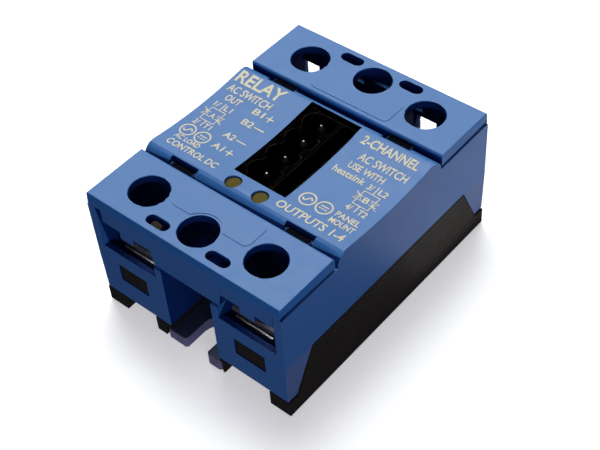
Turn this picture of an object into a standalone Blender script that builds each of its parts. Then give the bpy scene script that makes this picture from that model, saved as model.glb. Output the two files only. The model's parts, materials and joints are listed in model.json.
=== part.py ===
"""Dual-channel panel-mount solid state relay, built as separate named parts.

Frame: X across the width, Y along the length, Z up; the origin is the centre of the base.
All sizes below are millimetres. new_object() converts them to metres.
"""
import math

import bmesh
import bpy
from mathutils import Matrix, Vector

MM = 0.001
GAP = 0.3                      # clearance between pieces that touch

# Envelope
WIDTH, LENGTH = 44.8, 58.2
HALF_W, HALF_L = WIDTH / 2, LENGTH / 2
FLAP_TOP, PAD_TOP = 28.6, 28.72
DECK_Z = 25.85                 # top of the terminal blocks
BLOCK_BOTTOM = 4.0             # lower edge of the housing at the two ends
SIDE_PARTING_Z = 13.35         # lower edge of the housing along the sides
TONGUE_Y = (22.2, 26.7)        # where a side tongue leaves that edge, and its bottom corner
WALL = 1.5

# Centre block
BLOCK_HALF_Y, BLOCK_ROUND = 14.5, 2.5
DISH_Z = 27.8                  # lowest point of the dished label face
LED_POINTS = ((-3.3, -11.45), (2.9, -11.45))
LED_HOLE_R, LENS_R = 1.6, 1.45
WELL_X, WELL_Y = (-5.4, 6.35), (-8.9, 12.85)
WELL_WALL, WELL_BOTTOM = 0.9, 18.6

# Terminal blocks
TERMINAL_X, TERMINAL_Y = 13.5, 22.0
MOUNT_Y = 23.9                 # centre of each mounting notch
CHANNEL_HALF_X, CHANNEL_Y = 5.9, 18.6
CHAMBER_X, CHAMBER_Y = (7.6, 20.6), (17.6, 27.9)
CHAMBER_FLOOR, SILL_Z = 14.4, 16.15
SNAP_X, SNAP_Z = (10.5, 17.5), (8.9, 13.1)

# Flap hinges
HINGE_Y, HINGE_Z = 13.55, 26.9
POCKET_X, POCKET_Y = (10.2, 16.6), (12.85, 14.6)
ARM_HALF_THICK, PIN_R = 0.5, 0.35

# Flap
FLAP_HALF_X, FLAP_Y = 22.2, (15.0, 29.05)
FLAP_BOTTOM, LID_THICK = 26.1, 1.75
SKIRT_Y, SKIRT_HALF_X = (26.8, 28.6), 19.95
DRIVER_HOLE_R, MOUNT_HOLE_R = 3.8, 3.75
SLOT_X, SLOT_Y, SLOT_LENGTH, SLOT_WIDTH = 6.9, 26.6, 5.1, 2.2
SLOT_FLOOR = 23.5              # where the slots end in the skirt

# Base
PLATE_THICK, PLATE_HALF_X, PLATE_HALF_Y = 2.5, 17.9, 21.0
PRONG_X = (-7.3, 6.1)          # front tongue of the plate; the rear one is turned half round
NOTCH_HALF = 2.45
FRAME_BOTTOM, FRAME_FLOOR = 0.15, (2.8, 4.4)
FOOT_TOP, FOOT_X, FOOT_Y = 3.75, 17.7, 24.2

# Terminal hardware
PAD_Z, BAR_HALF_X = (14.7, 15.9), 4.2
CLAMP_HALF_X, CLAMP_Y, CLAMP_THICK = 5.3, (18.0, 26.3), 1.0
CLAMP_Z = PAD_Z[1] + GAP
SCREW_R, SCREW_LENGTH = 2.5, 10.8
WASHER_R, WASHER_THICK = 4.0, 1.0
HEAD_R, HEAD_HEIGHT = 3.4, 4.3
BORE_R = SCREW_R + GAP
NUT_SIDE, NUT_Z = 8.0, (11.7, 14.4)

# Control side
PIN_PITCH, PIN_X, PIN_CENTRE_Y = 5.08, -0.85, 2.05
PIN_SIDE, PIN_Z = 1.0, (15.0, 27.3)
HEADER_X, HEADER_Y, HEADER_Z = (-5.1, 6.05), (-8.6, 12.55), (18.4, 27.6)
TROUGH_X, TROUGH_Y, BAY_X = (-3.4, 1.9), (-8.2, 12.15), (2.7, 5.65)
TROUGH_FLOOR, RIM_Z = 20.9, 27.3
BOARD_HALF_X, BOARD_HALF_Y, BOARD_Z = 19.4, 13.5, (16.5, 18.1)
SUBSTRATE_Z, DIE_Z = (2.8, 3.4), (3.7, 4.4)

# Terminal number: (side along X, side along Y)
TERMINALS = {1: (-1, 1), 2: (-1, -1), 3: (1, 1), 4: (1, -1)}
PIN_YS = [PIN_CENTRE_Y + PIN_PITCH * (i - 1.5) for i in range(4)]


# ---------------------------------------------------------------- materials

def material(name, color, roughness, metallic=0.0):
    """Principled material with one colour, roughness and metallic value."""
    mat = bpy.data.materials.new(name)
    mat.use_nodes = True
    shader = mat.node_tree.nodes["Principled BSDF"]
    shader.inputs["Base Color"].default_value = (*color, 1.0)
    shader.inputs["Roughness"].default_value = roughness
    shader.inputs["Metallic"].default_value = metallic
    mat.diffuse_color = (*color, 1.0)
    return mat


def make_materials():
    return {
        "blue": material("blue_plastic", (0.13, 0.26, 0.52), 0.45),
        "black": material("black_plastic", (0.02, 0.018, 0.016), 0.55),
        "header": material("header_plastic", (0.012, 0.012, 0.012), 0.35),
        "plate": material("nickel_plate", (0.55, 0.56, 0.60), 0.35, 1.0),
        "tin": material("tinned_copper", (0.72, 0.71, 0.68), 0.3, 1.0),
        "steel": material("zinc_steel", (0.62, 0.63, 0.66), 0.3, 1.0),
        "screw": material("yellow_zinc", (0.70, 0.60, 0.38), 0.3, 1.0),
        "pin": material("tinned_pin", (0.68, 0.66, 0.62), 0.25, 1.0),
        "lens": material("amber_lens", (0.30, 0.24, 0.06), 0.3),
        "board": material("board_green", (0.03, 0.16, 0.07), 0.5),
        "chip": material("chip_black", (0.03, 0.03, 0.035), 0.5),
        "ceramic": material("alumina", (0.85, 0.84, 0.80), 0.6),
        "silicon": material("silicon", (0.25, 0.26, 0.30), 0.25, 1.0),
        "resistor": material("resistor_body", (0.55, 0.45, 0.30), 0.6),
    }


# ---------------------------------------------------------------- outlines and solids

def span(sign, pair):
    """The two ends of a range on one side of the centre line, lowest first."""
    return tuple(sorted((sign * pair[0], sign * pair[1])))


def arc(centre, radius, start, end, steps):
    """Points of an arc, angles in degrees, both ends included."""
    points = []
    for i in range(steps + 1):
        angle = math.radians(start + (end - start) * i / steps)
        points.append((centre[0] + radius * math.cos(angle), centre[1] + radius * math.sin(angle)))
    return points


def circle(centre, radius, steps=32):
    return arc(centre, radius, 0, 360, steps)[:-1]


def stadium(centre, length, width, steps=8):
    half = length / 2 - width / 2
    right = arc((centre[0] + half, centre[1]), width / 2, -90, 90, steps)
    left = arc((centre[0] - half, centre[1]), width / 2, 90, 270, steps)
    return right + left


def prism(bm, outline, axis, low, high):
    """Extrude a closed outline along axis. The outline holds the other two coordinates in XYZ order."""
    order = {"x": (2, 0, 1), "y": (0, 2, 1), "z": (0, 1, 2)}[axis]
    rings = []
    for level in (low, high):
        ring = []
        for point in outline:
            source = (point[0], point[1], level)
            ring.append(bm.verts.new([source[k] for k in order]))
        rings.append(ring)
    count = len(outline)
    faces = [bm.faces.new(rings[0]), bm.faces.new(rings[1])]
    for i in range(count):
        j = (i + 1) % count
        faces.append(bm.faces.new((rings[0][i], rings[0][j], rings[1][j], rings[1][i])))
    bmesh.ops.recalc_face_normals(bm, faces=faces)


def box(bm, x, y, z):
    corners = ((x[0], y[0]), (x[1], y[0]), (x[1], y[1]), (x[0], y[1]))
    prism(bm, corners, "z", z[0], z[1])


def lathe(bm, profile, steps=32):
    """Turn a (radius, height) profile round Z. Its first and last points lie on the axis."""
    rings = []
    for radius, height in profile[1:-1]:
        rings.append([bm.verts.new((x, y, height)) for x, y in circle((0, 0), radius, steps)])
    top = bm.verts.new((0, 0, profile[0][1]))
    bottom = bm.verts.new((0, 0, profile[-1][1]))
    faces = []
    for i in range(steps):
        j = (i + 1) % steps
        faces.append(bm.faces.new((top, rings[0][i], rings[0][j])))
        faces.append(bm.faces.new((bottom, rings[-1][j], rings[-1][i])))
        for upper, lower in zip(rings, rings[1:]):
            faces.append(bm.faces.new((upper[i], lower[i], lower[j], upper[j])))
    bmesh.ops.recalc_face_normals(bm, faces=faces)


def new_object(name, bm, mat=None, origin=(0, 0, 0), smooth_angle=None):
    """Turn a bmesh in millimetres into an object whose origin is the given point."""
    bmesh.ops.translate(bm, verts=bm.verts, vec=-Vector(origin))
    bmesh.ops.scale(bm, vec=(MM, MM, MM), verts=bm.verts)
    mesh = bpy.data.meshes.new(name)
    bm.to_mesh(mesh)
    bm.free()
    obj = bpy.data.objects.new(name, mesh)
    obj.location = Vector(origin) * MM
    bpy.context.collection.objects.link(obj)
    if mat:
        mesh.materials.append(mat)
    if smooth_angle:
        mesh.shade_smooth()
        mesh.set_sharp_from_angle(angle=math.radians(smooth_angle))
    return obj


def boolean(obj, operation, name, build):
    """Add an exact Boolean. Its operand is filled in by build(bm) and is parented to the object."""
    bm = bmesh.new()
    build(bm)
    operand = new_object(f"cutter_{obj.name}_{name}", bm, origin=Vector(obj.location) / MM)
    operand.location = (0, 0, 0)
    operand.parent = obj
    operand.hide_render = True
    operand.display_type = "WIRE"
    modifier = obj.modifiers.new(name, "BOOLEAN")
    modifier.operation = operation
    modifier.solver = "EXACT"
    modifier.object = operand


def twin(name, source, origin, turn=0.0):
    """Another object on the same mesh with its own copies of the Boolean operands."""
    obj = source.copy()
    obj.name = name
    obj.location = Vector(origin) * MM
    obj.rotation_euler = (0, 0, turn)
    bpy.context.collection.objects.link(obj)
    for modifier in obj.modifiers:
        operand = modifier.object.copy()
        operand.name = f"cutter_{name}_{modifier.name}"
        operand.parent = obj
        bpy.context.collection.objects.link(operand)
        modifier.object = operand
    return obj


# ---------------------------------------------------------------- housing

def block_outline():
    """Side profile of the housing: two terminal decks and a rounded centre block with a dished top."""
    rear = [(HALF_L, BLOCK_BOTTOM), (HALF_L, DECK_Z), (BLOCK_HALF_Y, DECK_Z)]
    crest_y = BLOCK_HALF_Y - BLOCK_ROUND
    rear += arc((crest_y, FLAP_TOP - BLOCK_ROUND), BLOCK_ROUND, 0, 90, 6)
    dish = []
    for i in range(1, 12):
        y = crest_y * (1 - i / 6)
        dish.append((y, DISH_Z + (FLAP_TOP - DISH_Z) * (y / crest_y) ** 2))
    return rear + dish + [(-y, z) for y, z in reversed(rear)]


def build_housing(mats):
    """One-piece moulded housing, open underneath."""
    bm = bmesh.new()
    prism(bm, block_outline(), "x", -HALF_W, HALF_W)
    housing = new_object("housing", bm, mats["blue"], smooth_angle=32)
    boolean(housing, "DIFFERENCE", "hollow", housing_hollow)
    boolean(housing, "UNION", "collar", housing_collar)
    boolean(housing, "DIFFERENCE", "side_openings", housing_side_openings)
    boolean(housing, "DIFFERENCE", "undersides", housing_undersides)
    boolean(housing, "DIFFERENCE", "chambers", housing_chambers)
    boolean(housing, "DIFFERENCE", "end_windows", housing_end_windows)
    boolean(housing, "DIFFERENCE", "pockets", housing_pockets)
    boolean(housing, "DIFFERENCE", "passages", housing_passages)
    return housing


def housing_hollow(bm):
    """Room for the circuit under the centre block, narrower below the dished roof."""
    wide, narrow = CHANNEL_Y - 2.2, 11.3
    outline = [(-wide, 3), (wide, 3), (wide, 24.3), (narrow, 24.3), (narrow, 26.4)]
    outline += [(-narrow, 26.4), (-narrow, 24.3), (-wide, 24.3)]
    prism(bm, outline, "x", -(HALF_W - WALL), HALF_W - WALL)


def housing_collar(bm):
    """Walls of the well that takes the control header."""
    x = (WELL_X[0] - WELL_WALL, WELL_X[1] + WELL_WALL)
    y = (WELL_Y[0] - WELL_WALL, WELL_Y[1] + WELL_WALL)
    box(bm, x, y, (WELL_BOTTOM, 26.9))


def housing_side_openings(bm):
    """Room beside the base frame's raised sides. It leaves a tongue at each corner."""
    upper, lower = TONGUE_Y
    slope = (lower - upper) / (SIDE_PARTING_Z - BLOCK_BOTTOM)
    foot = lower + slope
    outline = [(-foot, BLOCK_BOTTOM - 1), (foot, BLOCK_BOTTOM - 1)]
    outline += [(upper, SIDE_PARTING_Z), (-upper, SIDE_PARTING_Z)]
    for side in (-1, 1):
        low, high = span(side, (20.6, 23))
        prism(bm, outline, "x", low, high)


def housing_undersides(bm):
    """Hollows under the four terminal chambers, deeper at the end wall for the latch arms."""
    for end in (-1, 1):
        outline = [(16, 3), (27.9, 3), (27.9, 13.2), (26.6, 13.2), (26.6, 10.6), (16, 10.6)]
        outline = [(end * y, z) for y, z in outline]
        for side in (-1, 1):
            low, high = span(side, (7.1, 20.9))
            prism(bm, outline, "x", low, high)


def housing_chambers(bm):
    """Four terminal chambers open at the top, and the two mounting channels between them."""
    for end in (-1, 1):
        box(bm, (-CHANNEL_HALF_X, CHANNEL_HALF_X), span(end, (CHANNEL_Y, 30)), (0, 30))
        for side in (-1, 1):
            box(bm, span(side, CHAMBER_X), span(end, CHAMBER_Y), (CHAMBER_FLOOR, 30))


def housing_end_windows(bm):
    """Wire windows above the sills of both end walls, with room for the flap's skirt between them."""
    outline = [(-20.6, 30), (-20.6, SILL_Z), (-7.4, SILL_Z), (-7.4, 18.85)]
    outline += [(7.4, 18.85), (7.4, SILL_Z), (20.6, SILL_Z), (20.6, 30)]
    for end in (-1, 1):
        low, high = span(end, (SKIRT_Y[0] - GAP, 30))
        prism(bm, outline, "y", low, high)


def housing_pockets(bm):
    """Header well, indicator holes, nut pockets, latch windows and hinge pockets."""
    box(bm, WELL_X, WELL_Y, (WELL_BOTTOM - 1, 30))
    for point in LED_POINTS:
        prism(bm, circle(point, LED_HOLE_R), "z", 23.5, 30)
    half = NUT_SIDE / 2 + 0.2
    for end in (-1, 1):
        for side in (-1, 1):
            centre = (side * TERMINAL_X, end * TERMINAL_Y)
            x = (centre[0] - half, centre[0] + half)
            y = (centre[1] - half, centre[1] + half)
            box(bm, x, y, (NUT_Z[0] - GAP, CHAMBER_FLOOR + 0.6))
            box(bm, span(side, SNAP_X), span(end, (27.4, 30)), SNAP_Z)
            box(bm, span(side, POCKET_X), span(end, POCKET_Y), (25.1, 30))


def housing_passages(bm):
    """Screw clearance below the nuts, slots for the power terminals and bores for the hinge pins."""
    for end in (-1, 1):
        for side in (-1, 1):
            centre = (side * TERMINAL_X, end * TERMINAL_Y)
            prism(bm, circle(centre, 3.0), "z", 9.5, 12)
            x = (centre[0] - BAR_HALF_X - GAP, centre[0] + BAR_HALF_X + GAP)
            box(bm, x, span(end, (16, 18)), (CHAMBER_FLOOR, PAD_Z[1] + GAP))
            low, high = span(side, (POCKET_X[0] - 0.8, POCKET_X[1] + 0.8))
            prism(bm, circle((end * HINGE_Y, HINGE_Z), PIN_R + GAP, 16), "x", low, high)


# ---------------------------------------------------------------- flaps

def build_flap(mats):
    """Front flap: lid with a fine groove along its outer edge, skirt, and two hinge arms with stub pins."""
    bm = bmesh.new()
    inner, outer = FLAP_Y
    outline = [(-inner, FLAP_BOTTOM)] + arc((-inner - 0.5, FLAP_TOP - 0.5), 0.5, 0, 90, 4)
    outline += [(-outer + 0.2, FLAP_TOP), (-outer + 0.04, 26.86), (-outer + 0.1, 26.78)]
    outline += [(-outer + 0.03, 26.7), (-outer, FLAP_BOTTOM)]
    prism(bm, outline, "x", -FLAP_HALF_X, FLAP_HALF_X)
    origin = (0, -HINGE_Y, HINGE_Z)
    flap = new_object("front_flap", bm, mats["blue"], origin, smooth_angle=32)
    boolean(flap, "UNION", "skirt", flap_skirt)
    boolean(flap, "UNION", "pad", flap_pad)
    boolean(flap, "DIFFERENCE", "underside", flap_underside)
    boolean(flap, "DIFFERENCE", "holes", flap_holes)
    boolean(flap, "UNION", "arms", flap_arms)
    boolean(flap, "UNION", "stub_pins", flap_stub_pins)
    return flap


def flap_skirt(bm):
    right = [(7.6, 19.1), (8.2, 22.3), (12.5, 22.3), (12.5, 20.7), (15.75, 20.7), (15.75, 22.3)]
    right += [(SKIRT_HALF_X, 22.3), (SKIRT_HALF_X, 27.3)]
    outline = right + [(-x, z) for x, z in reversed(right)]
    low, high = span(-1, SKIRT_Y)
    prism(bm, outline, "y", low, high)


def flap_pad(bm):
    """Slightly raised label pad, cut away round the mounting hole."""
    half, top, bottom, radius, bite = 9.1, -16.05, -21.9, 1.2, 4.2
    drop = bottom + MOUNT_Y
    spread = math.degrees(math.asin(drop / bite))
    outline = arc((half - radius, top - radius), radius, 0, 90, 4)
    outline += arc((-half + radius, top - radius), radius, 90, 180, 4)
    outline += arc((-half + radius, bottom + radius), radius, 180, 270, 4)
    outline += arc((0, -MOUNT_Y), bite, 180 - spread, spread, 10)
    outline += arc((half - radius, bottom + radius), radius, 270, 360, 4)
    prism(bm, outline, "z", FLAP_TOP - 0.4, PAD_TOP)


def flap_underside(bm):
    """Shallow hollow under the lid, and a notch above each hinge arm."""
    box(bm, (-21.0, 21.0), (-26.4, -16.2), (FLAP_BOTTOM - 1, FLAP_TOP - LID_THICK))
    for side in (-1, 1):
        box(bm, span(side, (POCKET_X[0] + 0.1, POCKET_X[1] - 0.1)), (-15.5, -14.5), (26, 27.65))


def flap_holes(bm):
    """Screwdriver holes, the mounting screw hole, and two test slots that also hollow the skirt."""
    low, high = FLAP_BOTTOM - 1, FLAP_TOP + 1
    prism(bm, circle((0, -MOUNT_Y), MOUNT_HOLE_R), "z", low, high)
    for side in (-1, 1):
        prism(bm, circle((side * TERMINAL_X, -TERMINAL_Y), DRIVER_HOLE_R), "z", low, high)
        prism(bm, stadium((side * SLOT_X, -SLOT_Y), SLOT_LENGTH, SLOT_WIDTH), "z", SLOT_FLOOR, high)


def flap_arms(bm):
    lower, upper = HINGE_Z - ARM_HALF_THICK, HINGE_Z + ARM_HALF_THICK
    outline = [(-15.9, upper), (-15.9, lower)]
    outline += arc((-HINGE_Y, HINGE_Z), ARM_HALF_THICK, -90, 90, 8)
    for side in (-1, 1):
        low, high = span(side, (POCKET_X[0] + 0.5, POCKET_X[1] - 0.5))
        prism(bm, outline, "x", low, high)


def flap_stub_pins(bm):
    for side in (-1, 1):
        low, high = span(side, (POCKET_X[0] - 0.5, POCKET_X[1] + 0.5))
        prism(bm, circle((-HINGE_Y, HINGE_Z), PIN_R, 16), "x", low, high)


# ---------------------------------------------------------------- base

def build_base_frame(mats):
    """Moulded frame round the metal plate, with raised sides, feet and four latch arms."""
    bm = bmesh.new()
    outer, corner, upper = HALF_L, TONGUE_Y[1] - 0.15, TONGUE_Y[0] - 0.15
    side_top = SIDE_PARTING_Z - 0.25
    half = [(outer, FRAME_BOTTOM), (outer, FOOT_TOP), (corner, FOOT_TOP), (upper, side_top)]
    outline = half + [(-y, z) for y, z in reversed(half)]
    prism(bm, outline, "x", -HALF_W, HALF_W)
    frame = new_object("base_frame", bm, mats["black"])
    boolean(frame, "DIFFERENCE", "inside", frame_inside)
    boolean(frame, "UNION", "floors", frame_floors)
    boolean(frame, "DIFFERENCE", "plate_pocket", frame_plate_pocket)
    boolean(frame, "DIFFERENCE", "recesses", frame_recesses)
    boolean(frame, "UNION", "latches", frame_latches)
    return frame


def frame_inside(bm):
    box(bm, (-21.2, 21.2), (-30, 30), (FOOT_TOP, 15))


def frame_floors(bm):
    """Raised floors under the terminal blocks, and rails that stand behind the housing's side walls."""
    rail = [(21.4, 11.0), (21.4, 12.9), (20.6, 12.9), (20.6, 14.6), (20.0, 14.6), (20.0, 12.2)]
    for side in (-1, 1):
        prism(bm, [(side * x, z) for x, z in rail], "y", -16.0, 16.0)
        for end in (-1, 1):
            box(bm, span(side, (7.4, 20.6)), span(end, (16.2, 27.6)), (3.0, 5.0))


def frame_plate_pocket(bm):
    """Underside pocket that follows the metal plate and its two tongues."""
    half_x, half_y = PLATE_HALF_X + GAP, PLATE_HALF_Y + GAP
    left, right = PRONG_X[0] - GAP, PRONG_X[1] + GAP
    front = [(-half_x, -half_y), (left, -half_y), (left, -30), (right, -30), (right, -half_y)]
    front.append((half_x, -half_y))
    outline = front + [(-x, -y) for x, y in front]
    prism(bm, outline, "z", -1, FRAME_FLOOR[0])


def frame_recesses(bm):
    """Mounting channels, the hollows between the feet, and the window under the substrates."""
    box(bm, (-15.4, 15.4), (-14.0, 14.0), (-1, 6))
    for turn in (1, -1):
        y = span(turn, (-30, -FOOT_Y))
        box(bm, (-6.1, 6.1), span(turn, (-30, -18.9)), (2.5, 6))
        box(bm, span(turn, (-FOOT_X, -9.9)), y, (-1, FOOT_TOP))
        box(bm, span(turn, (6.9, FOOT_X)), y, (-1, FOOT_TOP))


def frame_latches(bm):
    """Spring arms that rise behind the end walls, each with a hook in a latch window."""
    outline = [(26.9, 4.2), (27.6, 4.2), (27.6, 9.1), (28.95, 9.1), (28.95, 12.5), (28.6, 12.9), (26.9, 12.9)]
    for end in (-1, 1):
        for side in (-1, 1):
            low, high = span(side, (SNAP_X[0] + GAP, SNAP_X[1] - GAP))
            prism(bm, [(end * y, z) for y, z in outline], "x", low, high)


def tongue_outline():
    """Front tongue of the metal plate, left to right: two round-cornered prongs and an open notch."""
    left, right = PRONG_X
    tip, r, notch = -HALF_L, 0.9, NOTCH_HALF
    points = [(left, -PLATE_HALF_Y)]
    points += arc((left + r, tip + r), r, 180, 270, 4)
    points += arc((-notch - r, tip + r), r, 270, 360, 4)
    points += arc((0, -MOUNT_Y), notch, 180, 0, 16)
    points += arc((notch + r, tip + r), r, 180, 270, 4)
    points += arc((right - r, tip + r), r, 270, 360, 4)
    return points + [(right, -PLATE_HALF_Y)]


def build_base_plate(mats):
    """Metal heat-spreader plate with an open mounting notch at each end."""
    bm = bmesh.new()
    front = [(-PLATE_HALF_X, -PLATE_HALF_Y)] + tongue_outline() + [(PLATE_HALF_X, -PLATE_HALF_Y)]
    prism(bm, front + [(-x, -y) for x, y in front], "z", 0, PLATE_THICK)
    return new_object("base_plate", bm, mats["plate"], smooth_angle=32)


# ---------------------------------------------------------------- terminal hardware

def build_power_terminal(mats, name, side, end):
    """Bent strap from a terminal pad, through the block wall, down to the power circuit."""
    low, high = PAD_Z
    outline = [(26.8, low), (26.8, high), (14.8, high), (14.2, high - 0.6), (14.2, 5.9), (4.0, 5.9)]
    outline += [(4.0, 4.7), (14.8, 4.7), (15.4, 5.3), (15.4, low)]
    bm = bmesh.new()
    x = (side * TERMINAL_X - BAR_HALF_X, side * TERMINAL_X + BAR_HALF_X)
    prism(bm, [(end * y, z) for y, z in outline], "x", x[0], x[1])
    strap = new_object(name, bm, mats["tin"])
    centre = (side * TERMINAL_X, end * TERMINAL_Y)
    boolean(strap, "DIFFERENCE", "bore", lambda b: prism(b, circle(centre, BORE_R), "z", low - 1, high + 1))


def build_clamp_plate(mats):
    """Wire clamp plate under the screw head, with eased front and rear edges."""
    depth = (CLAMP_Y[1] - CLAMP_Y[0]) / 2
    offset = (CLAMP_Y[1] + CLAMP_Y[0]) / 2 - TERMINAL_Y
    thick, ease = CLAMP_THICK, 0.35
    half = [(depth - 0.1, 0), (depth, 0.1), (depth, thick - ease), (depth - ease * 0.3, thick - ease * 0.3)]
    half.append((depth - ease, thick))
    outline = half + [(-y, z) for y, z in reversed(half)]
    bm = bmesh.new()
    prism(bm, [(y - offset, z) for y, z in outline], "x", -CLAMP_HALF_X, CLAMP_HALF_X)
    plate = new_object("clamp_plate_2", bm, mats["steel"], smooth_angle=40)
    boolean(plate, "DIFFERENCE", "bore", lambda b: prism(b, circle((0, 0), BORE_R), "z", -1, thick + 1))
    return plate


def build_screw(mats):
    """M5 terminal screw with a captive washer and a cross recess. Its origin is under the washer."""
    top, edge, washer = HEAD_HEIGHT, HEAD_R, WASHER_THICK
    profile = [(0, top), (edge * 0.55, top), (edge * 0.82, top - 0.25), (edge * 0.96, top - 0.75)]
    profile += [(edge, top - 1.3), (edge, washer + 0.5), (edge - 0.3, washer + 0.3), (edge - 0.3, washer)]
    profile += [(WASHER_R - 0.15, washer), (WASHER_R, washer - 0.2), (WASHER_R, 0.15), (WASHER_R - 0.15, 0)]
    profile.append((SCREW_R, 0))
    profile += [(SCREW_R, -SCREW_LENGTH + 0.6), (SCREW_R - 0.6, -SCREW_LENGTH), (0, -SCREW_LENGTH)]
    bm = bmesh.new()
    lathe(bm, profile)
    screw = new_object("terminal_screw_2", bm, mats["screw"], smooth_angle=32)
    boolean(screw, "DIFFERENCE", "recess", screw_recess)
    return screw


def screw_recess(bm):
    reach, half = 2.5, 0.55
    outline = []
    for quarter in range(4):
        angle = math.radians(90 * quarter)
        for x, y in ((half, -half), (reach, -half), (reach, half)):
            cosine, sine = math.cos(angle), math.sin(angle)
            outline.append((x * cosine - y * sine, x * sine + y * cosine))
    prism(bm, outline, "z", HEAD_HEIGHT - 2.1, HEAD_HEIGHT + 1)


def build_nut(mats):
    """Square nut with its thread bore left plain."""
    bm = bmesh.new()
    half = NUT_SIDE / 2 - 0.1
    height = NUT_Z[1] - NUT_Z[0]
    outline = []
    for sx, sy in ((1, 1), (-1, 1), (-1, -1), (1, -1)):
        first, second = (sx * half, sy * (half - 0.5)), (sx * (half - 0.5), sy * half)
        outline += [first, second] if sx == sy else [second, first]
    prism(bm, outline, "z", 0, height)
    nut = new_object("terminal_nut_2", bm, mats["steel"])
    boolean(nut, "DIFFERENCE", "bore", lambda b: prism(b, circle((0, 0), BORE_R), "z", -1, height + 1))
    return nut


def build_terminals(mats):
    """Four sets of strap, nut, clamp plate and screw, with every clamp wound down."""
    plate, screw, nut = build_clamp_plate(mats), build_screw(mats), build_nut(mats)
    for number, (side, end) in TERMINALS.items():
        build_power_terminal(mats, f"power_terminal_{number}", side, end)
        x, y = side * TERMINAL_X, end * TERMINAL_Y
        heights = {"clamp_plate": CLAMP_Z, "terminal_screw": CLAMP_Z + CLAMP_THICK + GAP}
        heights["terminal_nut"] = NUT_Z[0]
        turn = math.pi if end > 0 else 0.0
        for source in (plate, screw, nut):
            stem = source.name.rsplit("_", 1)[0]
            if number == 2:
                source.location = Vector((x, y, heights[stem])) * MM
            else:
                twin(f"{stem}_{number}", source, (x, y, heights[stem]), turn)


# ---------------------------------------------------------------- control side

def header_trough(bm):
    """Trough for the plug: scallops beside each pin on one side, keying tabs on the other."""
    left, right = TROUGH_X
    near, far = TROUGH_Y
    outline = [(right, far), (left, far)]
    for y in reversed(PIN_YS):
        outline += arc((-2.3, y), 2.3, 118.6, 241.4, 10)
    outline += [(left, near), (right, near)]
    for low, high in zip(PIN_YS, PIN_YS[1:]):
        y = (low + high) / 2
        outline += [(right, y - 1.1), (right - 0.8, y - 1.1), (right - 0.8, y + 1.1), (right, y + 1.1)]
    prism(bm, outline, "z", TROUGH_FLOOR, 30)


def header_bay(bm):
    box(bm, BAY_X, TROUGH_Y, (TROUGH_FLOOR, 30))


def header_rim(bm):
    """Lower the thin shroud round the bay and at the trough's two ends."""
    near, far, left, right = TROUGH_Y[0] + 0.1, TROUGH_Y[1] - 0.1, TROUGH_X[0] - 0.1, BAY_X[0] + 0.1
    outline = [(right, near), (right, far), (left, far), (left, 14), (8, 14), (8, -10)]
    outline += [(left, -10), (left, near)]
    prism(bm, outline, "z", RIM_Z, 30)


def header_rim_notches(bm):
    for y in (-6.5, 1.0, 4.0):
        box(bm, (BAY_X[1] - 0.5, 8), (y - 0.45, y + 0.45), (RIM_Z - 0.9, 30))


def header_pin_holes(bm):
    for y in PIN_YS:
        box(bm, (PIN_X - 0.8, PIN_X + 0.8), (y - 0.8, y + 0.8), (18, 21.5))


def build_header(mats):
    """Four-way control header: a trough for the plug and an empty bay inside one thin shroud."""
    bm = bmesh.new()
    box(bm, HEADER_X, HEADER_Y, HEADER_Z)
    header = new_object("control_header", bm, mats["header"])
    boolean(header, "DIFFERENCE", "trough", header_trough)
    boolean(header, "DIFFERENCE", "bay", header_bay)
    boolean(header, "DIFFERENCE", "rim", header_rim)
    boolean(header, "DIFFERENCE", "rim_notches", header_rim_notches)
    boolean(header, "DIFFERENCE", "pin_holes", header_pin_holes)


def build_header_pins(mats):
    """Four square pins with bevelled tips, from under the board to just below the header's rim."""
    corner, tip, end = PIN_SIDE / math.sqrt(2), 0.15 * math.sqrt(2), 0.3 * math.sqrt(2)
    bottom, top = PIN_Z
    profile = [(0, top), (tip, top), (corner, top - 0.9), (corner, bottom + 0.4), (end, bottom), (0, bottom)]
    bm = bmesh.new()
    lathe(bm, profile, steps=4)
    bmesh.ops.rotate(bm, verts=bm.verts, matrix=Matrix.Rotation(math.radians(45), 3, "Z"))
    pin = new_object("header_pin_1", bm, mats["pin"])
    pin.location = Vector((PIN_X, PIN_YS[0], 0)) * MM
    for i in range(1, 4):
        twin(f"header_pin_{i + 1}", pin, (PIN_X, PIN_YS[i], 0))


def build_indicators(mats):
    """Two light pipes in the roof and the two indicator chips below them."""
    bm = bmesh.new()
    lathe(bm, [(0, 28.15), (LENS_R - 0.15, 28.1), (LENS_R, 27.95), (LENS_R, 22.5), (1.1, 22.3), (0, 22.3)])
    lens = new_object("led_lens_a", bm, mats["lens"], smooth_angle=32)
    bm = bmesh.new()
    lathe(bm, [(0, 22.0), (0.8, 21.8), (1.35, 21.2), (1.5, 20.5), (1.5, 18.4), (0, 18.4)], steps=24)
    chip = new_object("led_chip_a", bm, mats["lens"], smooth_angle=50)
    for obj, stem in ((lens, "led_lens"), (chip, "led_chip")):
        obj.location = Vector((*LED_POINTS[0], 0)) * MM
        twin(f"{stem}_b", obj, (*LED_POINTS[1], 0))


def board_pin_holes(bm):
    for y in PIN_YS:
        prism(bm, circle((PIN_X, y), 1.05, 16), "z", BOARD_Z[0] - 1, BOARD_Z[1] + 1)


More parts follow.
